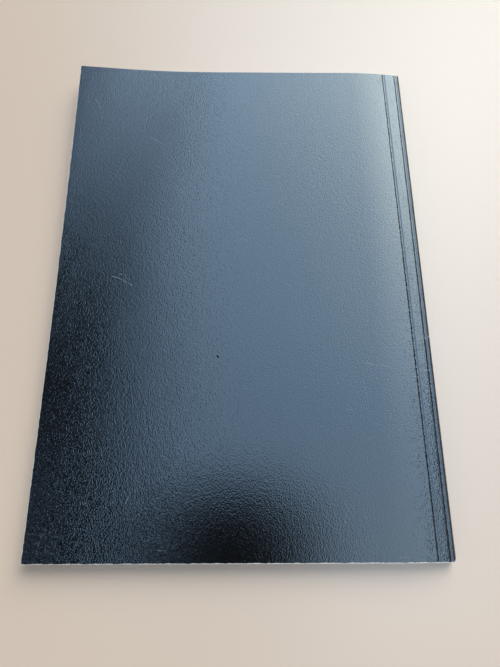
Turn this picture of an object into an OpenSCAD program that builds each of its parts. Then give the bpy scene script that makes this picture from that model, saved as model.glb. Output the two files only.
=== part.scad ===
// Thin A5 paperback: a glued page block in one scored and folded card cover.
// It lies on its front cover, with the spine towards +X and the head towards +Y.
// The origin is on the table, under the middle of the book.

/* [Book] */
// Trimmed width, from the fore-edge to the spine
trim_w = 148; // [120:1:220]
// Trimmed height, from the tail to the head
trim_h = 210; // [160:1:300]
// Thickness of the closed book, away from the spine
book_t = 5.6; // [5:0.1:20]

/* [Cover card] */
// Thickness of the cover card
card_t = 0.3; // [0.2:0.05:0.5]
// Outside radius of the two folds at the spine
fold_r = 1.6; // [0.8:0.1:3]
// Radius of the pressed score lines
score_r = 1.6; // [0.8:0.1:2.5]
// Depth of the score lines in the card
score_depth = 0.16; // [0.08:0.02:0.2]
// Distance of the hinge score from the spine, at mid height
hinge_inset = 7.1; // [5.5:0.1:12]
// How much further from the spine the hinge score is at one end than at the other
hinge_skew = 1.5; // [0:0.1:2]
// Distance of the spine score from the spine
spine_score_inset = 2.1; // [1.6:0.1:3]
// Slit between a cover panel and the glued strip beside it
hinge_slit = 0.06; // [0.04:0.01:0.2]

/* [Pinch at the spine] */
// Distance from the spine where the covers start to dip towards it
pinch_start = 23; // [16:0.5:40]
// Slope of the upper, back cover at the spine, in degrees
pinch_back = 5.7; // [0.5:0.1:6]
// Slope of the lower, front cover at the spine, in degrees
pinch_front = 1.2; // [0.5:0.1:3]

/* [Curled corner of the back cover] */
// Where the bend leaves the head edge, from the fore-edge
curl_head = 54; // [30:1:90]
// Where the bend leaves the fore-edge, from the head
curl_fore = 140; // [80:1:150]
// Radius of the bend
curl_r = 290; // [150:10:450]
// Slope of the lifted corner, in degrees
curl_angle = 5; // [1:0.5:5]

/* [Glue] */
// Thickness of the glue between the page block and the spine
glue_t = 0.5; // [0.3:0.1:1]
// Gap between the pages and a cover, which the side glue fills next to the spine
page_gap = 0.1; // [0.05:0.01:0.2]
// Width of the side glue on the first and last page, from the spine
side_glue_w = 5.2; // [3:0.1:5.4]
// Depth of the notches milled in the spine of the page block
notch_depth = 0.6; // [0.3:0.1:1]
// Width of a notch
notch_w = 1; // [0.5:0.1:2]
// Distance from one notch to the next
notch_pitch = 10; // [5:1:20]

/* [Hidden] */
$fn = 48;

card_colour = "#16181c";
page_colour = "#efe9dc";
glue_colour = "#e3d3a3";

spine_x = trim_w / 2;
fore_x = -trim_w / 2;
head_y = trim_h / 2;
pinch_steps = 12;
fold_steps = 10;
curl_steps = 12;
margin = 2;

// The dip is a bend that ends just before the hinge score, and a straight slope from there on.
score_half_w = sqrt(score_r * score_r - pow(score_r - score_depth, 2));
bend_run = pinch_start - hinge_inset - hinge_skew / 2 - score_half_w;

// Radius of that bend.
function bend_r(slope) = bend_run / sin(slope);

// Depth of a sloping cover below its flat part, where its line reaches the spine.
function slope_depth(slope) =
    bend_r(slope) * (1 - cos(slope)) + (pinch_start - bend_run) * tan(slope);

// Depth from the line's end to the end of a fold of radius 1.
function fold_share(slope) = (1 - sin(slope)) / cos(slope);

// The two folds share the height of the spine, so neither is larger than that allows.
spine_height = book_t - slope_depth(pinch_back) - slope_depth(pinch_front);
spine_fold_r = min(fold_r, spine_height / (fold_share(pinch_back) + fold_share(pinch_front)));

// Depth of the end of a cover's fold, where the upright spine starts.
function fold_end(slope) = slope_depth(slope) + spine_fold_r * fold_share(slope);

// Points of an arc as [x, depth], turning from a level line to a given slope and beyond.
// The centre is on the inner side, and inset is the distance inside the card's outer face.
function arc(centre, radius, from, to, steps, inset) =
    [for (i = [0:steps])
        let (turn = from + (to - from) * i / steps)
        centre + (radius - inset) * [sin(turn), -cos(turn)]];

// One cover from the fore-edge to the upright spine, as [x, depth below its flat outer face].
function cover_line(slope, inset) = concat(
    [[fore_x, inset]],
    arc([spine_x - pinch_start, bend_r(slope)], bend_r(slope), 0, slope, pinch_steps, inset),
    arc([spine_x - spine_fold_r, fold_end(slope)], spine_fold_r, slope, 90, fold_steps, inset));

function reversed(points) = [for (i = [len(points) - 1:-1:0]) points[i]];

// The whole wrap as [x, z], from the back cover's fore-edge round the spine to the front cover's.
function wrap_line(inset) = concat(
    [for (p = cover_line(pinch_back, inset)) [p.x, book_t - p.y]],
    reversed(cover_line(pinch_front, inset)));

// Point on the outer face of a sloping cover as [x, depth], at a distance from the spine.
function slope_point(slope, from_spine) =
    [spine_x - from_spine, slope_depth(slope) - from_spine * tan(slope)];

// Ends of a score line on that face, at the tail and at the head, each as [x, y, depth].
function score_ends(slope, at_tail, at_head) = [
    for (end = [[-head_y, at_tail], [head_y, at_head]])
        let (p = slope_point(slope, end[1])) [p.x, end[0], p.y]];

// The cover sits a little askew on the block, so the back's and the front's scores lean opposite ways.
back_hinge = score_ends(pinch_back, hinge_inset - hinge_skew / 2, hinge_inset + hinge_skew / 2);
front_hinge = score_ends(pinch_front, hinge_inset + hinge_skew / 2, hinge_inset - hinge_skew / 2);

// The spine scores run straight along the folds.
back_fold = score_ends(pinch_back, spine_score_inset, spine_score_inset);
front_fold = score_ends(pinch_front, spine_score_inset, spine_score_inset);

// A shape drawn in x and z, run along the whole height of the book.
module run(length = trim_h) {
    rotate([90, 0, 0]) linear_extrude(length, center = true) children();
}

// Places a back cover's depth as a height. A front cover's depth is its height already.
module as_back() {
    translate([0, 0, book_t]) mirror([0, 0, 1]) children();
}

// Round bar that presses a score line into a sloping cover, with both ends past the card.
module score_bar(ends, slope) {
    along = ends[1] - ends[0];
    length = norm(along);
    outside = score_r - score_depth;
    translate(ends[0] + outside * [sin(slope), 0, -cos(slope)])
        rotate([0, acos(along.z / length), atan2(along.y, along.x)])
            translate([0, 0, -margin]) cylinder(h = length + 2 * margin, r = score_r);
}

// Upright block over everything on the fore-edge side of a hinge score, up to the middle of the book.
module fore_side(ends, shift) {
    lean = (ends[1].x - ends[0].x) / trim_h;
    reach = margin * lean;
    translate([0, 0, -margin])
        linear_extrude(book_t / 2 + margin)
            polygon([
                [fore_x - margin, -head_y - margin],
                [ends[0].x + shift - reach, -head_y - margin],
                [ends[1].x + shift + reach, head_y + margin],
                [fore_x - margin, head_y + margin]]);
}

// The card as folded, before it is scored.
module folded_card() {
    run() polygon(concat(wrap_line(0), reversed(wrap_line(card_t))));
}

// Everything inside the folded card, down to a gap under its inner face.
module inside_card(gap) {
    run() polygon(wrap_line(card_t + gap));
}

// Bend line of the curled corner: its length and its direction, seen from above.
curl_length = norm([curl_head, curl_fore]);
curl_turn = atan2(curl_head, -curl_fore);

// Turns the way from the bend line to the corner into x, and the bend line into y.
module at_curl() {
    translate([fore_x + curl_head, head_y, 0]) rotate(curl_turn) children();
}

// Everything on the corner's side of the bend line.
module corner_side() {
    at_curl() translate([0, -curl_length, -book_t]) cube([curl_length, 3 * curl_length, 3 * book_t]);
}

// The lifted sheet, as [distance from the bend line, height above the flat cover].
function curl_line(inset) = concat(
    [for (i = [0:curl_steps])
        let (turn = curl_angle * i / curl_steps)
        [(curl_r + inset) * sin(turn), curl_r - (curl_r + inset) * cos(turn)]],
    [(curl_r + inset) * [sin(curl_angle), -cos(curl_angle)] + [0, curl_r]
        + curl_length * [cos(curl_angle), sin(curl_angle)]]);

// The bent sheet itself, cut to the trimmed edges.
module lifted_corner() {
    intersection() {
        translate([0, 0, book_t]) at_curl()
            run(3 * curl_length) polygon(concat(curl_line(0), reversed(curl_line(card_t))));
        translate([fore_x, -head_y, 0]) cube([trim_w, trim_h, 4 * book_t + curl_length]);
    }
}

// The leaves of the book, trimmed flush and milled at the spine. They are one solid.
module page_block() {
    milled_x = spine_x - card_t - glue_t;
    notches = floor(trim_h / notch_pitch);
    color(page_colour) difference() {
        inside_card(page_gap);
        translate([milled_x, -trim_h, -margin]) cube([trim_w, 2 * trim_h, book_t + 2 * margin]);
        for (i = [1:notches - 1])
            translate([milled_x - notch_depth, (i - notches / 2) * notch_pitch - notch_w / 2, -margin])
                cube([notch_depth + margin, notch_w, book_t + 2 * margin]);
    }
}

// Hot-melt glue: a layer on the milled spine, in its notches and along the first and last page.
module spine_glue() {
    color(glue_colour) difference() {
        intersection() {
            inside_card(0);
            translate([spine_x - side_glue_w, -trim_h, 0]) cube([side_glue_w, 2 * trim_h, book_t]);
        }
        page_block();
    }
}

// The glued part of the cover: the spine with a strip on either side, up to the hinge scores.
module cover_spine() {
    color(card_colour) difference() {
        folded_card();
        as_back() fore_side(back_hinge, hinge_slit / 2);
        fore_side(front_hinge, hinge_slit / 2);
        as_back() score_bar(back_hinge, pinch_back);
        as_back() score_bar(back_fold, pinch_back);
        score_bar(front_hinge, pinch_front);
        score_bar(front_fold, pinch_front);
    }
}

// The lower cover, flat on the table.
module front_cover() {
    color(card_colour) difference() {
        intersection() {
            folded_card();
            fore_side(front_hinge, -hinge_slit / 2);
        }
        score_bar(front_hinge, pinch_front);
    }
}

// The upper cover, with the corner at the head lifted off the pages.
module back_cover() {
    color(card_colour) union() {
        difference() {
            intersection() {
                folded_card();
                as_back() fore_side(back_hinge, -hinge_slit / 2);
            }
            as_back() score_bar(back_hinge, pinch_back);
            corner_side();
        }
        lifted_corner();
    }
}

page_block();
spine_glue();
cover_spine();
front_cover();
back_cover();
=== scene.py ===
"""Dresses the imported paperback: a black laminated card cover with its wear, the leaves and the glue."""

import math
import random

import bpy
import numpy as np
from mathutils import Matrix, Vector


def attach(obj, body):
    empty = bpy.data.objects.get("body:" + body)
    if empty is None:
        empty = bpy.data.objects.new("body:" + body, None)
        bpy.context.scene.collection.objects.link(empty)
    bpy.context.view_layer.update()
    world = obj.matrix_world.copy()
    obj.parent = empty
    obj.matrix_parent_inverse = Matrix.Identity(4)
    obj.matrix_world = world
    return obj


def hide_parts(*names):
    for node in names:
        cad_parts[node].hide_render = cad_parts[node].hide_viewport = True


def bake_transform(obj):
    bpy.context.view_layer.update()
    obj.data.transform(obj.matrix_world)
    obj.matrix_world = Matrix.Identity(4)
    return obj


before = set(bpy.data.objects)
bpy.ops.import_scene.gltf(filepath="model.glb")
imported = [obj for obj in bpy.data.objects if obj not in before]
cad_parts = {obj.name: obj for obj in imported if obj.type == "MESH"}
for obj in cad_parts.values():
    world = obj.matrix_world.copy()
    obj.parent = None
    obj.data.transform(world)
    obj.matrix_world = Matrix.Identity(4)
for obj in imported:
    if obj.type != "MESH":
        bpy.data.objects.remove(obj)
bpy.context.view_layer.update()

# Sizes of the book in millimetres, the same as in the CAD source
MM = 0.001
TRIM_W = 148.0
TRIM_H = 210.0
BOOK_T = 5.6
CARD_T = 0.3
FOLD_R = 1.6
SCORE_R = 1.6
SCORE_DEPTH = 0.16
HINGE_INSET = 7.1
HINGE_SKEW = 1.5
SPINE_SCORE_INSET = 2.1
PINCH_START = 23.0
PINCH_BACK = math.radians(5.7)
PINCH_FRONT = math.radians(1.2)
CURL_HEAD = 54.0
CURL_FORE = 140.0
CURL_R = 290.0
CURL_ANGLE = math.radians(5.0)
GLUE_T = 0.5
PAGE_GAP = 0.1

SPINE_X = TRIM_W / 2
FORE_X = -TRIM_W / 2
HEAD_Y = TRIM_H / 2
TAIL_Y = -TRIM_H / 2
SCORE_HALF_W = math.sqrt(SCORE_R**2 - (SCORE_R - SCORE_DEPTH) ** 2)
BEND_RUN = PINCH_START - HINGE_INSET - HINGE_SKEW / 2 - SCORE_HALF_W

# Sizes that only the looks have, in millimetres
GROOVE_HALF_W = 1.05
LIP_SOFTNESS = 0.02
CURL_EASE = 12.0
HINGE_REACH = 0.6
STRIP_SAG = 0.10
SAG_RUN = 60.0
FOLD_ZONE = 5.5
FOLD_ZONE_RISE = 3.5
EDGE_BEVEL = 0.25
EDGE_DROP = 0.02

# The leaves: how many, share of its place that each one fills, seed and reach of their uneven edges
LEAVES = 48
LEAF_FILL = 0.9
LEAF_SEED = 21
TRIM_SCATTER = 0.05

# Unevenness of the card: height, seed, size of the bumps across and along
BROAD_WAVE = (0.04, 3, 80, 110)
FINE_WAVE = (0.008, 4, 24, 36)
FOLD_LUMPS = (0.008, 8, 2.5, 3.5)

# How it fades out before the hinge, how many waves make it up, and how far their lengths differ
WAVE_FADE = 25.0
RIPPLE_WAVES = 9
RIPPLE_SPREAD = 1.2

# How finely the meshes are divided
GRID_STEP = 1.3
EDGE_STATIONS = (0.0, 0.25, 0.8, 1.8)
EDGE_ZONE = 3.0
CURL_POINTS = 60
GROOVE_POINTS = 22
STRIP_POINTS = 8
SCORE_POINTS = 18
FOLD_POINTS = 15
LEAF_FLAT_POINTS = 6
LEAF_DIP_POINTS = 16
LEAF_EDGE = 1.0

# The film: its grain, the share of light that enters the card, its gloss and smudges
GRAIN_DEPTH = 0.07
GRAIN_SCALE = (2.6, 1.9, 2.6)
CARD_LIGHT = 0.035
FILM_IOR = 1.55
FILM_ROUGHNESS = (0.05, 0.10)
RUBBED_ROUGHNESS = 0.5
SMUDGE_SCALE = (0.03, 0.02, 0.03)
NOISE_MIDDLE = (0.3, 0.7)

# Edges where the film is rubbed off: noise per millimetre, its offset and range, and the widths it gives
TAIL_RUB = ((0.3, 0.0, 0.0), (0, 0, 0), (0.36, 0.60), (0.10, 0.34))
FORE_RUB = ((0.0, 0.2, 0.0), (7, 0, 0), (0.36, 0.62), (0.20, 0.36))
TAIL_RUB_X = (-60.0, 60.0)
TAIL_RUB_SHARE = (0.55, 0.80)
FORE_RUB_SHARE = 0.65

# Rubbed corners at the tail: raggedness, range over which the rubbing ends, share of card that shows
SPINE_CORNER = (2.0, (2.1, 2.5), 0.95)
FORE_CORNER = (1.0, (1.1, 1.5), 0.6)
CORNER_NOISE = 1.4

# Dust: cells per millimetre, radius of a speck, its solid share, share of cells without one, strength
DUST_CELLS = 0.22
DUST_R = 0.16
DUST_CORE = 0.4
DUST_FREE = 0.8
DUST_SHARE = 0.12

# Scratches on the back cover, in the tint of the light that the gloss mirrors, so partly painted
# reflection, and one painted sheen line along a dent near the spine: start, end, width in millimetres,
# strength
SCRATCHES_AND_SHEEN_LINES = (
    ((-52.0, 0.8), (-49.3, 0.1), 0.32, 0.26),
    ((-49.3, 0.1), (-43.6, -3.1), 0.22, 0.30),
    ((-49.2, 1.8), (-47.2, 1.7), 0.22, 0.24),
    ((-47.2, 1.7), (-45.4, -0.6), 0.20, 0.18),
    ((-65.9, 86.9), (-63.3, 82.5), 0.20, 0.16),
    ((-39.9, 67.8), (-35.3, 64.7), 0.18, 0.12),
    ((-0.2, 18.7), (2.3, 16.5), 0.18, 0.10),
    ((-38.6, -81.6), (-39.4, -84.2), 0.18, 0.18),
    ((-39.2, -83.4), (-40.6, -86.4), 0.18, 0.22),
    ((-54.6, -85.9), (-53.6, -85.0), 0.25, 0.30),
    ((-72.7, -95.4), (-67.2, -95.9), 0.35, 0.05),
    ((-68.4, -97.4), (-69.0, -102.6), 0.35, 0.04),
    ((-66.2, -98.6), (-66.0, -101.2), 0.35, 0.05),
    ((-28.5, -100.6), (-25.2, -100.8), 0.20, 0.12),
    ((46.4, -35.0), (55.8, -36.6), 0.18, 0.14),
    ((45.7, -39.7), (47.3, -49.7), 0.20, 0.05),
    ((39.8, -53.0), (42.3, -52.7), 0.18, 0.08),
    ((36.5, -84.7), (37.7, -91.3), 0.20, 0.08),
    ((36.9, -87.9), (35.9, -92.2), 0.20, 0.08),
    ((43.0, -89.6), (43.6, -90.6), 0.25, 0.14),
    ((53.9, -103.2), (57.6, -103.2), 0.20, 0.10),
    ((73.7, -24.1), (71.2, -25.0), 0.25, 0.22),
    ((71.2, -25.0), (68.4, -24.6), 0.22, 0.16),
    # Painted highlight: the lighter line of a dent in the card, drawn as a faint scratch
    ((66.0, -24.9), (59.3, -27.9), 0.25, 0.08),
    ((73.5, -24.0), (74.1, -23.4), 0.60, 0.90),
    ((72.2, -37.2), (70.6, -37.8), 0.22, 0.18),
)

# Heights between which the scratches and the painted sheen line fade out on the spine's fold, and the
# noise that breaks them up
SCRATCHED_FROM = (2.9, 3.7)
BREAK_NOISE = 1.3
BREAK_RANGE = (0.36, 0.56)
BREAK_SHARE = (0.15, 1.0)

# A grain of brown dirt on the back cover: its two ends and its width in millimetres
DIRT = ((-9.2, -32.4), (-8.8, -32.8), 0.55)
DIRT_RIM = (0.1, 0.5)

# Fibres, clouds and streaks: noise per millimetre, and per metre for the glue
CARD_FIBRE = (0.5, 1.6, 0.5)
PAPER_FIBRE = (0.9, 1.5, 0.9)
PAPER_CLOUD = (0.25, 0.25, 0.25)
EDGE_FIBRE = (0.9, 0.9, 0.9)
BROAD_STREAK = (0.012, 0.012, 2.2)
FINE_STREAK = (0.03, 0.03, 9.0)
GLUE_BLOTCH = 600.0

# How they are weighed against each other, and the ranges of noise that give the tones
FIBRE_SHARE = 0.6
FINE_SHARE = 0.5
EDGE_FIBRE_SHARE = 0.12
PAPER_RANGE = (0.35, 0.65)
STREAK_RANGE = (0.40, 0.60)

# Depth of their relief in millimetres, and roughness
CARD_RELIEF = 0.02
PAPER_RELIEF = 0.012
EDGE_RELIEF = 0.006
GLUE_RELIEF = 0.03
CARD_ROUGHNESS = 0.8
PAPER_ROUGHNESS = 0.85
GLUE_ROUGHNESS = 0.42

# Colours of the book
FILM_BLACK = (0.0032, 0.0038, 0.0048, 1)
RUBBED_CARD = (0.74, 0.73, 0.70, 1)
# Pale like scuffed film, but in the blue tint of the mirrored light: partly painted reflection
SCRATCH_AND_REFLECTION_TONE = (0.58, 0.71, 0.76, 1)
DIRT_BROWN = (0.030, 0.022, 0.016, 1)
CARD_TONES = ((0.70, 0.68, 0.63, 1), (0.78, 0.76, 0.71, 1))
PAPER_TONES = ((0.78, 0.72, 0.62, 1), (0.83, 0.785, 0.69, 1))
EDGE_TONES = ((0.57, 0.51, 0.41, 1), (0.81, 0.76, 0.66, 1))
EDGE_FIBRE_TONE = (0.66, 0.59, 0.47, 1)
GLUE_TONES = ((0.62, 0.50, 0.26, 1), (0.74, 0.64, 0.40, 1))

# The photo's camera, in millimetres over the middle of the flat cover
CAMERA_AT = (1.409, -83.823, 184.388 + BOOK_T)
CAMERA_TURN = (0.316980793, -0.00937537810, -0.00281628711)
CAMERA_CLIP = (0.01, 20.0)
FOCAL_PX = 501.0
LONG_SIDE_PX = 667.0
SENSOR_W = 36.0

# The soft light over the book. Its places are where the flat cover mirrors them to the photo's camera.
PANEL_HEIGHT = 800.0
PANEL_X = (-130.0, 190.0)
PANEL_Y = (-150.0, 185.0)
PANEL_GAIN = 0.85
PANEL_LEVEL = 4.75
PANEL_RISE = 0.0125
PANEL_RISE_FROM = -65.0
PANEL_TONES = ((0.61, 0.98, 1.46, 1), (0.82, 1.0, 1.08, 1))
PANEL_TONE_LEVELS = (2.0, 11.0)

# Its left end: range at the tail and the head, lean, shifts (from y, to y, by), last rise, glow beyond
LEFT_TAIL = (-50.0, -34.0)
LEFT_HEAD = (-52.0, -29.0)
LEFT_CHANGE_Y = (20.0, 75.0)
LEFT_LEAN = 0.07
LEFT_LEAN_TOP = 10.0
LEFT_SHIFTS = ((5.0, 45.0, 4.5), (55.0, 85.0, -6.5), (-30.0, 0.0, -1.5))
LAST_RISE_X = (-30.0, 14.0)
LAST_RISE = -0.12
GLOW_X = (-80.0, -58.0)
GLOW_Y = (-85.0, -50.0)
GLOW = (0.14, -0.02)
LEFT_LEAST = 0.02

# Its right end and its brighter right half
RIGHT_END = (139.0, 157.0)
RIGHT_LEAN = -0.15
LIFT_FROM = 26.0
LIFT = 0.0085
LIFT_RISE = 0.00004
LIFT_RISE_TOP = 75.0

# Where it is a little dimmer, brighter or paler
HEAD_DIM_Y = (80.0, 110.0)
HEAD_DIM_X = (55.0, 90.0)
HEAD_DIM = (0.98, 0.84)
LOW_DIM_X = (-30.0, -5.0)
LOW_DIM_Y = (-60.0, -15.0)
LOW_DIM = -0.09
STREAK_RISE_X = (-48.0, -40.0)
STREAK_FALL_X = (-36.0, -26.0)
STREAK_Y = (-95.0, -70.0)
STREAK = 0.35
TILT_TO = 25.0
TILT_Y = (30.0, 100.0)
TILT = 0.0035
PALE_X = (15.0, 50.0)
PALE_Y = (-95.0, -60.0)
PALE = 0.5

# A dark card over the tail, described in the same way: the photo mirrors the dark camera and hands there
DARK_CARD_HEIGHT = 105.0
DARK_CARD_X = -1.5
DARK_CARD_Y = (-125.0, -100.7)
DARK_CARD_R = (38.5, 30.0)
DARK_CARD_RIM = (0.29, 1.2)
DARK_CARD_COLOUR = (0.01, 0.01, 0.011, 1)
DARK_CARD_ROUGHNESS = 0.9

# The floor, in metres apart from its gap to the book
FLOOR_COLOUR = (0.64, 0.53, 0.43, 1)
FLOOR_ROUGHNESS = 0.42
FLOOR_SIZE = 6.0
FLOOR_FADE = (0.5, 2.6)
FLOOR_GAP = 0.1

# The soft lamp that lights the book from the upper right, and the sky
LAMP_FROM = (0.55, 1.0, 0.95)
LAMP_ANGLE = math.radians(50)
LAMP_LEVEL = 2.9
LAMP_COLOUR = (1.0, 0.97, 0.93)
SKY_LOW = (0.90, 0.885, 0.86, 1)
SKY_HIGH = (0.28, 0.31, 0.34, 1)
SKY_MIRRORED = (0.13, 0.30, 0.45, 1)
SKY_RANGE = (0.05, 0.75)


# Shape of the book

def bend_r(slope):
    """Radius of the bend with which a cover starts to dip towards the spine."""
    return BEND_RUN / math.sin(slope)


def dip(x, slope):
    """Depth of a cover below its flat part, at x."""
    run = np.maximum(x - (SPINE_X - PINCH_START), 0.0)
    radius = bend_r(slope)
    bend = np.minimum(run, BEND_RUN)
    straight = run - bend
    return radius - np.sqrt(radius**2 - bend**2) + straight * math.tan(slope)


def dip_at(x, slope):
    """The same depth at a single x."""
    return float(dip(np.array(x), slope))


def fold_start_x(slope):
    """Where a cover's slope ends and the fold round the spine starts."""
    return SPINE_X - FOLD_R * (1 - math.sin(slope))


def fold_end_depth(slope):
    """Depth at which the fold ends and the upright spine starts."""
    return dip_at(fold_start_x(slope), slope) + FOLD_R * math.cos(slope)


def hinge_x(y, lean):
    """Place of a hinge score at height y. The back's score leans one way and the front's the other."""
    return SPINE_X - HINGE_INSET - lean * HINGE_SKEW / 2 * y / HEAD_Y


def groove(distance):
    """Depth of a pressed score at a distance from its middle: a round groove with soft lips."""
    within = np.clip(np.abs(distance), 0, SCORE_R)
    round_part = np.sqrt(SCORE_R**2 - within**2) - (SCORE_R - SCORE_DEPTH)
    return 0.5 * (round_part + np.sqrt(round_part**2 + LIP_SOFTNESS**2))


def curl(x, y):
    """Height of the lifted corner of the back cover."""
    length = math.hypot(CURL_HEAD, CURL_FORE)
    away = (CURL_HEAD * (y - HEAD_Y) - CURL_FORE * (x - FORE_X - CURL_HEAD)) / length
    arc = CURL_R * math.sin(CURL_ANGLE)
    places = np.linspace(-CURL_EASE, arc + CURL_EASE, CURL_POINTS)
    share = (places - places[0]) / (places[-1] - places[0])
    slopes = math.tan(CURL_ANGLE) * share**2 * (3 - 2 * share)
    heights = np.concatenate([[0], np.cumsum((slopes[1:] + slopes[:-1]) / 2 * np.diff(places))])
    beyond = np.maximum(away - places[-1], 0) * math.tan(CURL_ANGLE)
    return np.interp(away, places, heights) + beyond


def ripple(x, y, height, seed, size_x, size_y):
    """Smooth unevenness from 0 to about the given height, with bumps of about the given sizes."""
    rng = random.Random(seed)
    total = np.zeros_like(x)
    for _ in range(RIPPLE_WAVES):
        wave_x = 2 * math.pi / size_x * rng.uniform(-RIPPLE_SPREAD, RIPPLE_SPREAD)
        wave_y = 2 * math.pi / size_y * rng.uniform(-RIPPLE_SPREAD, RIPPLE_SPREAD)
        total += np.sin(wave_x * x + wave_y * y + rng.uniform(0, 2 * math.pi))
    return height * (0.5 + total / (2 * math.sqrt(RIPPLE_WAVES)))


def edge_drop(x, y):
    """How far the card's worn edges are rounded off at the tail and the fore-edge."""
    tail = np.clip(1 - (y - TAIL_Y) / EDGE_BEVEL, 0, 1)
    fore = np.clip(1 - (x - FORE_X) / EDGE_BEVEL, 0, 1)
    return EDGE_DROP * np.maximum(tail, fore)


# Meshes

def stations(start, end):
    """Positions from start to end, closer together at both ends."""
    inner = np.arange(start + EDGE_ZONE, end - EDGE_ZONE + GRID_STEP / 2, GRID_STEP)
    left = [start + away for away in EDGE_STATIONS]
    right = [end - away for away in reversed(EDGE_STATIONS)]
    return np.array(left + list(inner) + right)


def add_object(name, vertices, faces, face_materials, materials):
    """Mesh object from points in millimetres. It keeps the points at rest for the materials."""
    mesh = bpy.data.meshes.new(name)
    mesh.from_pydata((vertices * MM).tolist(), [], faces)
    for material in materials:
        mesh.materials.append(material)
    mesh.polygons.foreach_set("material_index", face_materials)
    mesh.polygons.foreach_set("use_smooth", [True] * len(faces))
    rest = mesh.attributes.new("rest", "FLOAT_VECTOR", "POINT")
    rest.data.foreach_set("vector", vertices.astype(np.float32).ravel())
    mesh.update()
    made = bpy.data.objects.new(name, mesh)
    bpy.context.scene.collection.objects.link(made)
    return made


def grid_faces(rows, columns, first, flip):
    """Quads of a grid of points that starts at index first."""
    faces = []
    for r in range(rows - 1):
        for c in range(columns - 1):
            a = first + r * columns + c
            quad = (a, a + 1, a + columns + 1, a + columns)
            faces.append(quad[::-1] if flip else quad)
    return faces


def card_sheet(name, outer, inner, flip, materials):
    """Closed sheet of card between two grids of points: film outside, plain card inside and at cuts."""
    rows, columns = outer.shape[:2]
    count = rows * columns
    border = [(0, c) for c in range(columns)]
    border += [(r, columns - 1) for r in range(1, rows)]
    border += [(rows - 1, c) for c in range(columns - 2, -1, -1)]
    border += [(r, 0) for r in range(rows - 2, 0, -1)]
    rim_outer = np.array([outer[at] for at in border])
    rim_inner = np.array([inner[at] for at in border])
    vertices = np.concatenate([outer.reshape(-1, 3), inner.reshape(-1, 3), rim_outer, rim_inner])
    faces = grid_faces(rows, columns, 0, flip)
    outside = len(faces)
    faces += grid_faces(rows, columns, count, not flip)
    loop = len(border)
    for i in range(loop):
        j = (i + 1) % loop
        quad = (2 * count + i, 2 * count + loop + i, 2 * count + loop + j, 2 * count + j)
        faces.append(quad[::-1] if flip else quad)
    face_materials = [0] * outside + [1] * (len(faces) - outside)
    return add_object(name, vertices, faces, face_materials, materials)


def panel_grid(lean):
    """Points x and y of a cover panel, from the fore-edge to the far side of its hinge score."""
    rows = stations(TAIL_Y, HEAD_Y)
    flat = stations(FORE_X, SPINE_X - HINGE_INSET - GROOVE_HALF_W)
    share = (flat - flat[0]) / (flat[-1] - flat[0])
    across = np.linspace(-GROOVE_HALF_W, GROOVE_HALF_W, GROOVE_POINTS)[1:]
    grid_x = []
    for y in rows:
        middle = hinge_x(y, lean)
        main = FORE_X + share * (middle - GROOVE_HALF_W - FORE_X)
        grid_x.append(np.concatenate([main, middle + across]))
    grid_x = np.array(grid_x)
    grid_y = np.repeat(rows[:, None], grid_x.shape[1], axis=1)
    return grid_x, grid_y


def back_panel(materials):
    """The back cover with its hinge score, its lifted corner and a slight waviness."""
    x, y = panel_grid(1)
    wave = ripple(x, y, *BROAD_WAVE) + ripple(x, y, *FINE_WAVE)
    wave *= np.clip((SPINE_X - HINGE_INSET - x) / WAVE_FADE, 0, 1)
    base = BOOK_T - dip(x, PINCH_BACK) + curl(x, y) + wave
    score = groove(x - hinge_x(y, 1))
    outer = np.stack([x, y, base - score - edge_drop(x, y)], axis=-1)
    inner = np.stack([x, y, base - CARD_T], axis=-1)
    return card_sheet("back_cover_card", outer, inner, False, materials)


def front_panel(materials):
    """The front cover with its hinge score. The book lies on it."""
    x, y = panel_grid(-1)
    base = dip(x, PINCH_FRONT)
    score = groove(x - hinge_x(y, -1))
    outer = np.stack([x, y, base + score + edge_drop(x, y)], axis=-1)
    inner = np.stack([x, y, base + CARD_T], axis=-1)
    return card_sheet("front_cover_card", outer, inner, True, materials)


def strip_path(y, slope, lean):
    """One side of the spine card at height y, from a hinge score to the end of the fold.

    A row is [x, depth, normal x, normal depth, distance from the fold's start].
    """
    start = hinge_x(y, lean) + GROOVE_HALF_W
    fold = fold_start_x(slope)
    score = SPINE_X - SPINE_SCORE_INSET
    xs = np.concatenate([
        np.linspace(start, score - GROOVE_HALF_W, STRIP_POINTS)[:-1],
        np.linspace(score - GROOVE_HALF_W, fold, SCORE_POINTS)[:-1],
    ])
    points = []
    for x in xs:
        along = (x - fold) / math.cos(slope)
        points.append((x, dip_at(x, slope), math.sin(slope), -math.cos(slope), along))
    centre_x = SPINE_X - FOLD_R
    centre_depth = fold_end_depth(slope)
    for turn in np.linspace(slope, math.pi / 2, FOLD_POINTS):
        out_x = math.sin(turn)
        out_depth = -math.cos(turn)
        x = centre_x + FOLD_R * out_x
        depth = centre_depth + FOLD_R * out_depth
        points.append((x, depth, out_x, out_depth, FOLD_R * (turn - slope)))
    return np.array(points)


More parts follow.
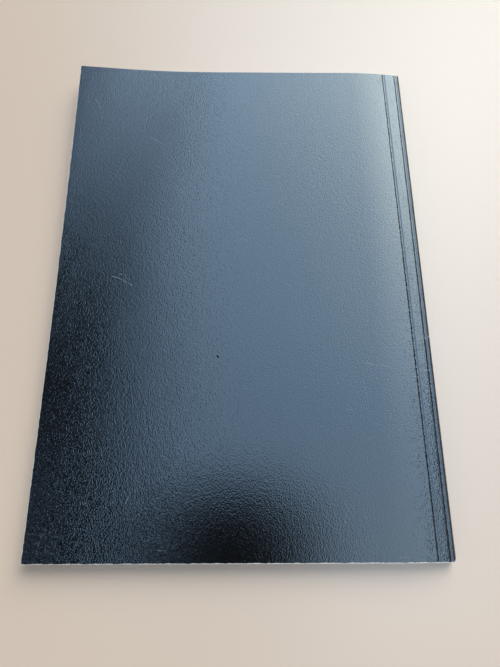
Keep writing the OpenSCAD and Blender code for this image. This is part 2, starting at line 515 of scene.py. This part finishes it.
def spine_card(materials):
    """The glued part of the cover: the spine with a strip on either side, its scores, lumps and sag."""
    score_at = -(fold_start_x(PINCH_BACK) - SPINE_X + SPINE_SCORE_INSET)
    outer = []
    inner = []
    for y in stations(TAIL_Y, HEAD_Y):
        back = strip_path(y, PINCH_BACK, 1)
        front = strip_path(y, PINCH_FRONT, -1)
        back_score = groove(back[:, 4] - score_at)
        front_score = groove(front[:, 4] - score_at)
        x = np.concatenate([back[:, 0], front[::-1, 0]])
        z = np.concatenate([BOOK_T - back[:, 1], front[::-1, 1]])
        out_x = np.concatenate([back[:, 2], front[::-1, 2]])
        out_z = np.concatenate([-back[:, 3], front[::-1, 3]])
        score = np.concatenate([back_score, front_score[::-1]])
        flat_y = np.full_like(x, y)
        near_fold = np.clip((x - SPINE_X + FOLD_ZONE) / FOLD_ZONE_RISE, 0, 1)
        lumps = ripple(x + z, flat_y, *FOLD_LUMPS) * near_fold
        low_half = np.clip(-y / SAG_RUN, 0, 1) * (z > BOOK_T / 2)
        sag = STRIP_SAG * near_fold**2 * low_half
        drop = score + lumps + sag + edge_drop(np.full_like(x, SPINE_X), flat_y)
        outer.append(np.stack([x - drop * out_x, flat_y, z - drop * out_z], axis=-1))
        inner.append(np.stack([x - CARD_T * out_x, flat_y, z - CARD_T * out_z], axis=-1))
    return card_sheet("spine_card", np.array(outer), np.array(inner), False, materials)


def leaf_stack(materials):
    """The leaves: thin closed sheets whose trimmed edges differ a little."""
    rng = random.Random(LEAF_SEED)
    dip_start = SPINE_X - PINCH_START
    spine_end = SPINE_X - CARD_T - GLUE_T
    xs = np.concatenate([
        [FORE_X],
        np.linspace(FORE_X + LEAF_EDGE, dip_start, LEAF_FLAT_POINTS),
        np.linspace(dip_start, spine_end, LEAF_DIP_POINTS)[1:],
    ])
    low = dip(xs, PINCH_FRONT) + CARD_T + PAGE_GAP
    high = BOOK_T - dip(xs, PINCH_BACK) - CARD_T - PAGE_GAP
    count = len(xs)
    vertices = []
    faces = []
    kinds = []
    sheet, edge = 0, 1
    for leaf in range(LEAVES):
        bottom = low + (high - low) * leaf / LEAVES
        top = low + (high - low) * (leaf + LEAF_FILL) / LEAVES
        leaf_x = xs.copy()
        leaf_x[0] += rng.uniform(0, TRIM_SCATTER)
        tail = TAIL_Y + rng.uniform(0, TRIM_SCATTER)
        head = HEAD_Y - rng.uniform(0, TRIM_SCATTER)
        first = len(vertices)
        for y in (tail, head):
            for z in (bottom, top):
                vertices.extend(zip(leaf_x, [y] * count, z))
        tail_low, tail_high, head_low, head_high = (first + k * count for k in range(4))
        for i in range(count - 1):
            faces.append((tail_low + i, tail_low + i + 1, tail_high + i + 1, tail_high + i))
            faces.append((head_low + i, head_high + i, head_high + i + 1, head_low + i + 1))
            faces.append((tail_high + i, tail_high + i + 1, head_high + i + 1, head_high + i))
            faces.append((tail_low + i, head_low + i, head_low + i + 1, tail_low + i + 1))
            kinds += [edge, edge, sheet, sheet]
        for i, turned in ((0, False), (count - 1, True)):
            quad = (tail_low + i, tail_high + i, head_high + i, head_low + i)
            faces.append(quad[::-1] if turned else quad)
            kinds.append(edge)
    made = add_object("leaves", np.array(vertices), faces, kinds, materials)
    made.data.polygons.foreach_set("use_smooth", [False] * len(faces))
    return made


# Materials

class Graph:
    """Short ways to add nodes to a material or world."""

    def __init__(self, tree):
        self.tree = tree
        tree.nodes.clear()

    def node(self, kind, **settings):
        """New node of a kind, with its settings."""
        made = self.tree.nodes.new(kind)
        for key, value in settings.items():
            setattr(made, key, value)
        return made

    def feed(self, socket, value):
        """Link a socket to another node's output, or set its plain value."""
        if isinstance(value, bpy.types.NodeSocket):
            self.tree.links.new(value, socket)
        else:
            socket.default_value = value

    def math(self, operation, *values):
        """Result of an operation on one to three values."""
        made = self.node("ShaderNodeMath", operation=operation)
        for socket, value in zip(made.inputs, values):
            self.feed(socket, value)
        return made.outputs[0]

    def product(self, *values):
        """All values multiplied."""
        total = values[0]
        for value in values[1:]:
            total = self.math("MULTIPLY", total, value)
        return total

    def swell(self, gain, *shares):
        """Factor that is 1 where any share is 0, and 1 + gain where all of them are 1."""
        return self.math("MULTIPLY_ADD", self.product(*shares), gain, 1.0)

    def smooth(self, value, low, high, to_low=0.0, to_high=1.0):
        """Smooth step from to_low to to_high while the value goes from low to high."""
        made = self.node("ShaderNodeMapRange", interpolation_type="SMOOTHSTEP")
        for key, given in zip(("Value", "From Min", "From Max", "To Min", "To Max"),
                              (value, low, high, to_low, to_high)):
            self.feed(made.inputs[key], given)
        return made.outputs["Result"]

    def scaled(self, vector, scale, offset=(0, 0, 0)):
        """A vector that is scaled on each axis and then moved."""
        made = self.node("ShaderNodeMapping")
        self.feed(made.inputs["Vector"], vector)
        made.inputs["Scale"].default_value = scale
        made.inputs["Location"].default_value = offset
        return made.outputs[0]

    def noise(self, vector, scale=1.0, detail=2.0, roughness=0.5):
        """Smooth noise from about 0 to 1."""
        made = self.node("ShaderNodeTexNoise")
        self.feed(made.inputs["Vector"], vector)
        made.inputs["Scale"].default_value = scale
        made.inputs["Detail"].default_value = detail
        made.inputs["Roughness"].default_value = roughness
        return made.outputs["Fac"]

    def mix(self, share, a, b):
        """Colour a with a share of colour b."""
        made = self.node("ShaderNodeMix", data_type="RGBA")
        self.feed(made.inputs["Factor"], share)
        self.feed(made.inputs["A"], a)
        self.feed(made.inputs["B"], b)
        return made.outputs["Result"]

    def axes(self, vector):
        """The parts x, y and z of a vector."""
        made = self.node("ShaderNodeSeparateXYZ")
        self.feed(made.inputs[0], vector)
        return made.outputs

    def radius(self, x, y):
        """Distance of a point x, y from the middle."""
        squares = self.math("ADD", self.math("MULTIPLY", x, x), self.math("MULTIPLY", y, y))
        return self.math("SQRT", squares)

    def rest(self):
        """The point at rest in millimetres, which stays with the card when it bends."""
        return self.node("ShaderNodeAttribute", attribute_name="rest").outputs["Vector"]

    def place(self):
        """The point in the object's own frame, in metres."""
        return self.node("ShaderNodeTexCoord").outputs["Object"]

    def mirrored(self):
        """1 for what a gloss mirrors, and 0 for everything else."""
        return self.node("ShaderNodeLightPath").outputs["Is Glossy Ray"]

    def bump(self, height, distance):
        """Normal of a relief whose depth is given in millimetres."""
        made = self.node("ShaderNodeBump")
        made.inputs["Strength"].default_value = 1.0
        made.inputs["Distance"].default_value = distance * MM
        self.feed(made.inputs["Height"], height)
        return made.outputs[0]

    def surface(self, **inputs):
        """Principled shader as the material's surface."""
        shader = self.node("ShaderNodeBsdfPrincipled")
        for key, value in inputs.items():
            self.feed(shader.inputs[key.replace("_", " ")], value)
        self.feed(self.output(), shader.outputs[0])
        return shader

    def mix_surfaces(self, share, first, second):
        """The first shader with a share of the second, as the material's surface."""
        made = self.node("ShaderNodeMixShader")
        self.feed(made.inputs[0], share)
        self.feed(made.inputs[1], first.outputs[0])
        self.feed(made.inputs[2], second.outputs[0])
        self.feed(self.output(), made.outputs[0])
        return made

    def clear(self):
        """Shader that lets all light through."""
        return self.node("ShaderNodeBsdfTransparent")

    def output(self):
        """Surface input of the material's output node, which is made when it is first asked for."""
        for node in self.tree.nodes:
            if node.type == "OUTPUT_MATERIAL":
                return node.inputs["Surface"]
        return self.node("ShaderNodeOutputMaterial").inputs["Surface"]


def new_material(name):
    """Empty material and its graph."""
    material = bpy.data.materials.new(name)
    material.use_nodes = True
    return material, Graph(material.node_tree)


def line_mark_group():
    """Node group: how much a point lies on a line between two points, in millimetres."""
    group = bpy.data.node_groups.new("line_mark", "ShaderNodeTree")
    for name, kind in (("Point", "NodeSocketVector"), ("Start", "NodeSocketVector"),
                       ("End", "NodeSocketVector"), ("Width", "NodeSocketFloat")):
        group.interface.new_socket(name, in_out="INPUT", socket_type=kind)
    group.interface.new_socket("Mark", in_out="OUTPUT", socket_type="NodeSocketFloat")
    g = Graph(group)
    given = g.node("NodeGroupInput").outputs

    def vector(operation, *values):
        made = g.node("ShaderNodeVectorMath", operation=operation)
        for socket, value in zip(made.inputs, values):
            g.feed(socket, value)
        return made

    flat = vector("MULTIPLY", given["Point"], (1, 1, 0)).outputs[0]
    from_start = vector("SUBTRACT", flat, given["Start"]).outputs[0]
    along = vector("SUBTRACT", given["End"], given["Start"]).outputs[0]
    reach = g.math("DIVIDE", vector("DOT_PRODUCT", from_start, along).outputs["Value"],
                   vector("DOT_PRODUCT", along, along).outputs["Value"])
    clamped = g.math("MINIMUM", g.math("MAXIMUM", reach, 0.0), 1.0)
    nearest = vector("SCALE", along)
    g.feed(nearest.inputs["Scale"], clamped)
    off = vector("SUBTRACT", from_start, nearest.outputs[0]).outputs[0]
    distance = vector("LENGTH", off).outputs["Value"]
    mark = g.smooth(distance, 0.0, given["Width"], 1.0, 0.0)
    out = g.node("NodeGroupOutput")
    g.feed(out.inputs["Mark"], mark)
    return group


def rubbed_edge(g, rest, away, scale, offset, noise_range, widths):
    """1 within the rubbed width of an edge, which varies along the edge."""
    along = g.noise(g.scaled(rest, scale, offset), detail=4.0, roughness=0.7)
    return g.math("LESS_THAN", away, g.smooth(along, *noise_range, *widths))


def rubbed_corner(g, away_a, away_b, ragged, raggedness, reach, share):
    """Share of card that shows at a corner, by the distances from its two edges."""
    away = g.math("MULTIPLY_ADD", ragged, raggedness, g.math("ADD", away_a, away_b))
    return g.smooth(away, *reach, share, 0.0)


def rubbing(g, rest):
    """White card along the tail, less along the fore-edge, and most at the spine's tail corner."""
    x, y = g.axes(rest)[:2]
    from_tail = g.math("SUBTRACT", y, TAIL_Y)
    from_fore = g.math("SUBTRACT", x, FORE_X)
    from_spine = g.math("SUBTRACT", SPINE_X, x)
    tail_share = g.smooth(x, *TAIL_RUB_X, *TAIL_RUB_SHARE)
    tail = g.product(rubbed_edge(g, rest, from_tail, *TAIL_RUB), tail_share)
    fore = g.product(rubbed_edge(g, rest, from_fore, *FORE_RUB), FORE_RUB_SHARE)
    ragged = g.noise(rest, scale=CORNER_NOISE, detail=3.0, roughness=0.7)
    spine_corner = rubbed_corner(g, from_spine, from_tail, ragged, *SPINE_CORNER)
    fore_corner = rubbed_corner(g, from_fore, from_tail, ragged, *FORE_CORNER)
    edges = g.math("MAXIMUM", tail, fore)
    return g.math("MAXIMUM", edges, g.math("MAXIMUM", spine_corner, fore_corner))


def dust(g, rest):
    """A few specks, each in a cell of its own."""
    cells = g.node("ShaderNodeTexVoronoi")
    g.feed(cells.inputs["Vector"], rest)
    cells.inputs["Scale"].default_value = DUST_CELLS
    chance = g.axes(cells.outputs["Color"])[0]
    rim = DUST_R * DUST_CELLS
    speck = g.smooth(cells.outputs["Distance"], DUST_CORE * rim, rim, 1.0, 0.0)
    return g.product(speck, g.math("GREATER_THAN", chance, DUST_FREE), DUST_SHARE)


def scratch_sheen_and_dirt_marks(g, rest):
    """How far each point is scratched or carries a painted sheen line, and how far it is covered by the
    grain of dirt.
    """
    group = line_mark_group()

    def line_mark(start, end, width):
        mark = g.node("ShaderNodeGroup", node_tree=group)
        g.feed(mark.inputs["Point"], rest)
        mark.inputs["Start"].default_value = (*start, 0)
        mark.inputs["End"].default_value = (*end, 0)
        mark.inputs["Width"].default_value = width
        return mark.outputs["Mark"]

    scratched_and_sheen = 0.0
    for start, end, width, strength in SCRATCHES_AND_SHEEN_LINES:
        scratched_and_sheen = g.math("MAXIMUM", scratched_and_sheen, g.product(line_mark(start, end, width), strength))
    on_top = g.smooth(g.axes(rest)[2], *SCRATCHED_FROM)
    breaks = g.noise(rest, scale=BREAK_NOISE, detail=3.0, roughness=0.7)
    broken = g.smooth(breaks, *BREAK_RANGE, *BREAK_SHARE)
    dirty = g.product(g.smooth(line_mark(*DIRT), *DIRT_RIM), on_top)
    return g.product(scratched_and_sheen, g.product(broken, on_top)), dirty


def laminate(name, marked):
    """Black gloss film on card, with grain, rubbed edges and dust. A marked one is scratched and dirty,
    and has painted sheen: its scratches take the mirrored light's tint, and one line paints the sheen of a
    dent.
    """
    material, g = new_material(name)
    rest = g.rest()
    normal = g.bump(g.noise(g.scaled(rest, GRAIN_SCALE), detail=0.0), GRAIN_DEPTH)
    worn = g.math("MAXIMUM", rubbing(g, rest), dust(g, rest))
    scratched_and_sheen, dirty = scratch_sheen_and_dirt_marks(g, rest) if marked else (0.0, 0.0)
    # The scratches paint the tint of the mirrored light into the colour, and one of them the sheen of a
    # dent
    colour = g.mix(scratched_and_sheen, g.mix(worn, FILM_BLACK, RUBBED_CARD), SCRATCH_AND_REFLECTION_TONE)
    smudge = g.noise(g.scaled(rest, SMUDGE_SCALE), detail=3.0)
    gloss = g.smooth(smudge, *NOISE_MIDDLE, *FILM_ROUGHNESS)
    roughness = g.math("MULTIPLY_ADD", g.math("MAXIMUM", worn, scratched_and_sheen), RUBBED_ROUGHNESS, gloss)
    film = g.surface(Base_Color=colour, Roughness=roughness, IOR=FILM_IOR, Normal=normal)
    dirt = g.node("ShaderNodeBsdfDiffuse")
    g.feed(dirt.inputs["Color"], DIRT_BROWN)
    soiled = g.mix_surfaces(dirty, film, dirt)

    # A little light enters the card and is lost there. It also shows the grain to the noise filter.
    entering = g.node("ShaderNodeBsdfTranslucent")
    g.feed(entering.inputs["Color"], RUBBED_CARD)
    g.feed(entering.inputs["Normal"], normal)
    g.mix_surfaces(CARD_LIGHT, soiled, entering)
    return material


def plain_card():
    """Uncoated inside and cut edge of the cover card."""
    material, g = new_material("card_inside")
    fibre = g.noise(g.scaled(g.rest(), CARD_FIBRE), detail=5.0, roughness=0.65)
    colour = g.mix(g.smooth(fibre, *NOISE_MIDDLE), *CARD_TONES)
    g.surface(Base_Color=colour, Roughness=CARD_ROUGHNESS, Normal=g.bump(fibre, CARD_RELIEF))
    return material


def paper():
    """Face of an off-white uncoated leaf: fine fibres in a slightly cloudy sheet."""
    material, g = new_material("paper")
    rest = g.rest()
    fibre = g.noise(g.scaled(rest, PAPER_FIBRE), detail=5.0, roughness=0.65)
    cloud = g.noise(g.scaled(rest, PAPER_CLOUD), detail=3.0)
    tone = g.math("MULTIPLY_ADD", fibre, FIBRE_SHARE, g.math("MULTIPLY", cloud, 1 - FIBRE_SHARE))
    colour = g.mix(g.smooth(tone, *PAPER_RANGE), *PAPER_TONES)
    g.surface(Base_Color=colour, Roughness=PAPER_ROUGHNESS, Normal=g.bump(fibre, PAPER_RELIEF))
    return material


def trimmed_edge():
    """Cut edge of the leaves: streaks along it, where single leaves are darker or paler."""
    material, g = new_material("trimmed_edge")
    rest = g.rest()
    fibre = g.noise(g.scaled(rest, EDGE_FIBRE), detail=5.0, roughness=0.6)
    broad = g.noise(g.scaled(rest, BROAD_STREAK), detail=1.0)
    fine = g.noise(g.scaled(rest, FINE_STREAK), detail=2.0)
    tone = g.math("MULTIPLY_ADD", fine, FINE_SHARE, g.math("MULTIPLY", broad, 1 - FINE_SHARE))
    streaked = g.mix(g.smooth(tone, *STREAK_RANGE), *EDGE_TONES)
    fibrous = g.smooth(fibre, *NOISE_MIDDLE, 0.0, EDGE_FIBRE_SHARE)
    colour = g.mix(fibrous, streaked, EDGE_FIBRE_TONE)
    g.surface(Base_Color=colour, Roughness=PAPER_ROUGHNESS, Normal=g.bump(fibre, EDGE_RELIEF))
    return material


def hot_melt():
    """Cream hot-melt glue, slightly waxy."""
    material, g = new_material("hot_melt")
    blotch = g.noise(g.place(), scale=GLUE_BLOTCH, detail=3.0)
    colour = g.mix(blotch, *GLUE_TONES)
    g.surface(Base_Color=colour, Roughness=GLUE_ROUGHNESS, Normal=g.bump(blotch, GLUE_RELIEF))
    return material


def floor_material():
    """Plain pale warm table with a soft sheen."""
    material, g = new_material("floor")
    table = g.surface(Base_Color=FLOOR_COLOUR, Roughness=FLOOR_ROUGHNESS)

    # Far away it fades into the sky
    x, y = g.axes(g.place())[:2]
    fade = g.smooth(g.radius(x, y), *FLOOR_FADE)

    # Seen from below it is clear, and the gloss of the underside mirrors the sky and not the dark gap
    in_x = g.math("LESS_THAN", g.math("ABSOLUTE", x), TRIM_W / 2 * MM)
    in_y = g.math("LESS_THAN", g.math("ABSOLUTE", y), TRIM_H / 2 * MM)
    under_book = g.product(in_x, in_y, g.mirrored())
    below = g.node("ShaderNodeNewGeometry").outputs["Backfacing"]
    clearness = g.math("MAXIMUM", fade, g.math("MAXIMUM", under_book, below))
    g.mix_surfaces(clearness, table, g.clear())
    return material


# Lights and what the gloss mirrors

def mirror_scale(height):
    """How much larger a thing at that height is than its mirror image on the flat cover."""
    camera_height = CAMERA_AT[2] - BOOK_T
    return (height - BOOK_T + camera_height) / camera_height


def mirrored_area(x_range, y_range, height):
    """Corners, in metres, of the area at that height that the flat cover mirrors in two ranges."""
    scale = mirror_scale(height)
    xs = [MM * (CAMERA_AT[0] + (x - CAMERA_AT[0]) * scale) for x in x_range]
    ys = [MM * (CAMERA_AT[1] + (y - CAMERA_AT[1]) * scale) for y in y_range]
    return [(xs[0], ys[0], MM * height), (xs[0], ys[1], MM * height),
            (xs[1], ys[1], MM * height), (xs[1], ys[0], MM * height)]


def mirror_axes(g, height):
    """Place on the flat cover, in millimetres, where the photo's camera sees a point mirrored."""
    scale = mirror_scale(height)
    place = g.axes(g.place())
    shifts = [CAMERA_AT[k] * (1 - 1 / scale) for k in range(2)]
    return [g.math("MULTIPLY_ADD", place[k], 1 / (MM * scale), shifts[k]) for k in range(2)]


def left_end(g, x, y):
    """How the light begins at the left: a leaning soft end, a slow last rise and a glow beyond."""
    moved_x = x
    for start, end, shift in LEFT_SHIFTS:
        moved_x = g.math("ADD", moved_x, g.smooth(y, start, end, 0.0, shift))
    moved_x = g.math("MULTIPLY_ADD", g.math("MINIMUM", y, LEFT_LEAN_TOP), LEFT_LEAN, moved_x)
    from_x, to_x = (g.smooth(y, *LEFT_CHANGE_Y, tail, head) for tail, head in zip(LEFT_TAIL, LEFT_HEAD))
    near_tail = g.smooth(y, *LEFT_CHANGE_Y, 1.0, 0.0)
    last_rise = g.swell(LAST_RISE, near_tail, g.smooth(moved_x, *LAST_RISE_X, 1.0, 0.0))
    glow = g.product(g.smooth(x, *GLOW_X, *GLOW), g.smooth(y, *GLOW_Y, 1.0, 0.0))
    main = g.product(g.smooth(moved_x, from_x, to_x), last_rise)
    return g.math("MAXIMUM", main, g.math("ADD", glow, LEFT_LEAST))


def right_half(g, x, y):
    """How the light grows towards the right and ends there."""
    beyond = g.math("MAXIMUM", g.math("SUBTRACT", x, LIFT_FROM), 0.0)
    gain = g.math("MULTIPLY_ADD", g.math("MINIMUM", y, LIFT_RISE_TOP), LIFT_RISE, LIFT)
    leaning_x = g.math("MULTIPLY_ADD", y, RIGHT_LEAN, x)
    return g.product(g.swell(1.0, beyond, gain), g.smooth(leaning_x, *RIGHT_END, 1.0, 0.0))


def light_spots(g, x, y):
    """Small differences in the light: the head, the middle of the low half, a streak and a tilt."""
    head = g.smooth(y, *HEAD_DIM_Y, 1.0, g.smooth(x, *HEAD_DIM_X, *HEAD_DIM))
    low = g.swell(LOW_DIM, g.smooth(x, *LOW_DIM_X), g.smooth(y, *LOW_DIM_Y, 1.0, 0.0))
    streak_x = g.product(g.smooth(x, *STREAK_RISE_X), g.smooth(x, *STREAK_FALL_X, 1.0, 0.0))
    streak = g.swell(STREAK, streak_x, g.smooth(y, *STREAK_Y, 1.0, 0.0))
    tilt = g.swell(TILT, g.math("MINIMUM", x, TILT_TO), g.smooth(y, *TILT_Y))
    return g.product(head, low, streak, tilt)


def panel_material():
    """The large soft light: dim at the left, brighter towards the head and the right."""
    material, g = new_material("soft_light")
    x, y = mirror_axes(g, PANEL_HEIGHT)
    level = g.math("MULTIPLY_ADD", g.math("MAXIMUM", y, PANEL_RISE_FROM), PANEL_RISE, PANEL_LEVEL)
    level = g.product(level, left_end(g, x, y), right_half(g, x, y), light_spots(g, x, y))
    pale = g.product(g.smooth(x, *PALE_X), g.smooth(y, *PALE_Y, PALE, 0.0))
    colour = g.mix(g.math("MAXIMUM", g.smooth(level, *PANEL_TONE_LEVELS), pale), *PANEL_TONES)
    light = g.node("ShaderNodeEmission")
    g.feed(light.inputs["Color"], colour)
    g.feed(light.inputs["Strength"], g.product(level, PANEL_GAIN))
    g.feed(g.output(), light.outputs[0])
    return material


def dark_card_material():
    """Dark card with a soft outline: an upright band with round ends."""
    material, g = new_material("dark_card")
    x, y = mirror_axes(g, DARK_CARD_HEIGHT)
    across = g.math("DIVIDE", g.math("SUBTRACT", x, DARK_CARD_X), DARK_CARD_R[0])
    nearest_y = g.math("MINIMUM", g.math("MAXIMUM", y, DARK_CARD_Y[0]), DARK_CARD_Y[1])
    along = g.math("DIVIDE", g.math("SUBTRACT", y, nearest_y), DARK_CARD_R[1])
    card = g.surface(Base_Color=DARK_CARD_COLOUR, Roughness=DARK_CARD_ROUGHNESS)
    g.mix_surfaces(g.smooth(g.radius(across, along), *DARK_CARD_RIM), card, g.clear())
    return material


def add_plane(name, corners, material):
    """Flat piece of the stage."""
    mesh = bpy.data.meshes.new(name)
    mesh.from_pydata(corners, [], [tuple(range(len(corners)))])
    mesh.materials.append(material)
    made = bpy.data.objects.new(name, mesh)
    bpy.context.scene.collection.objects.link(made)
    return made


def add_floor():
    """The table. The front cover turns down when it opens, and the table stays just under its edge."""
    half = FLOOR_SIZE / 2
    corners = [(-half, -half), (half, -half), (half, half), (-half, half)]
    floor = add_plane("floor", [(*corner, 0) for corner in corners], floor_material())
    low_edge = bpy.data.objects.new("low_edge", None)
    low_edge.location = (FORE_X * MM, 0, -FLOOR_GAP * MM)
    bpy.context.scene.collection.objects.link(low_edge)
    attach(low_edge, "front")
    follow = floor.constraints.new("COPY_LOCATION")
    follow.target = low_edge
    follow.use_x = False
    follow.use_y = False


def add_mirrored_things():
    """The panel and the dark card, which only the gloss shows. The lamp and the sky light the rest."""
    panel = add_plane("light_panel", mirrored_area(PANEL_X, PANEL_Y, PANEL_HEIGHT), panel_material())
    reach_x, reach_y = (DARK_CARD_RIM[1] * r for r in DARK_CARD_R)
    card_x = (DARK_CARD_X - reach_x, DARK_CARD_X + reach_x)
    card_y = (DARK_CARD_Y[0] - reach_y, DARK_CARD_Y[1] + reach_y)
    card = add_plane("dark_card", mirrored_area(card_x, card_y, DARK_CARD_HEIGHT), dark_card_material())
    for made in (panel, card):
        made.visible_camera = False
        made.visible_diffuse = False
        made.visible_shadow = False


def add_lamp():
    """The soft lamp. The gloss mirrors the panel in its place."""
    data = bpy.data.lights.new("soft_lamp", "SUN")
    data.angle = LAMP_ANGLE
    data.energy = LAMP_LEVEL
    data.color = LAMP_COLOUR
    lamp = bpy.data.objects.new("soft_lamp", data)
    lamp.location = LAMP_FROM
    lamp.rotation_euler = Vector(LAMP_FROM).to_track_quat("Z", "Y").to_euler()
    lamp.visible_glossy = False
    bpy.context.scene.collection.objects.link(lamp)


def add_sky():
    """Pale at the horizon, grey overhead, and blue overhead where the gloss mirrors it."""
    world = bpy.data.worlds.new("studio")
    bpy.context.scene.world = world
    world.use_nodes = True
    g = Graph(world.node_tree)
    height = g.axes(g.node("ShaderNodeTexCoord").outputs["Generated"])[2]
    overhead = g.mix(g.mirrored(), SKY_HIGH, SKY_MIRRORED)
    background = g.node("ShaderNodeBackground")
    g.feed(background.inputs["Color"], g.mix(g.smooth(height, *SKY_RANGE), SKY_LOW, overhead))
    target = g.node("ShaderNodeOutputWorld")
    g.feed(target.inputs["Surface"], background.outputs[0])


def add_camera():
    """The photo's camera."""
    data = bpy.data.cameras.new("photo_camera")
    data.sensor_width = SENSOR_W
    data.lens = SENSOR_W * FOCAL_PX / LONG_SIDE_PX
    data.clip_start, data.clip_end = CAMERA_CLIP
    camera = bpy.data.objects.new("photo_camera", data)
    camera.location = [c * MM for c in CAMERA_AT]
    camera.rotation_euler = CAMERA_TURN
    bpy.context.scene.collection.objects.link(camera)
    bpy.context.scene.camera = camera


# The dressed book

def hinge_crossing(height, lean):
    """Points on either side of a hinge score, square to it."""
    across = np.array([1.0, lean * HINGE_SKEW / TRIM_H, 0.0])
    across /= np.linalg.norm(across)
    middle = np.array([hinge_x(0, lean), 0.0, height])
    return (middle + HINGE_REACH * across) * MM, (middle - HINGE_REACH * across) * MM


def dress():
    """Put each piece in the place of its CAD node and give it its finish; the spine card and the leaves go
    on the block's body.
    """
    inside = plain_card()
    marked = laminate("laminate_back", True)
    unmarked = laminate("laminate_front", False)

    back = back_panel([marked, inside])
    start, end = hinge_crossing(BOOK_T - dip_at(hinge_x(0, 1), PINCH_BACK), 1)
    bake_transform(back)
    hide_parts("back_cover")

    front = front_panel([unmarked, inside])
    start, end = hinge_crossing(dip_at(hinge_x(0, -1), PINCH_FRONT), -1)
    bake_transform(front)
    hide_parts("front_cover")

    spine = spine_card([marked, inside])
    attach(spine, "block")
    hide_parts("cover_spine")

    leaves = leaf_stack([paper(), trimmed_edge()])
    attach(leaves, "block")
    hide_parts("page_block")

    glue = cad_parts["spine_glue"]
    glue.data.materials.clear()
    glue.data.materials.append(hot_melt())


dress()
add_floor()
add_mirrored_things()
add_lamp()
add_sky()
add_camera()
bpy.context.scene.view_settings.view_transform = "Standard"
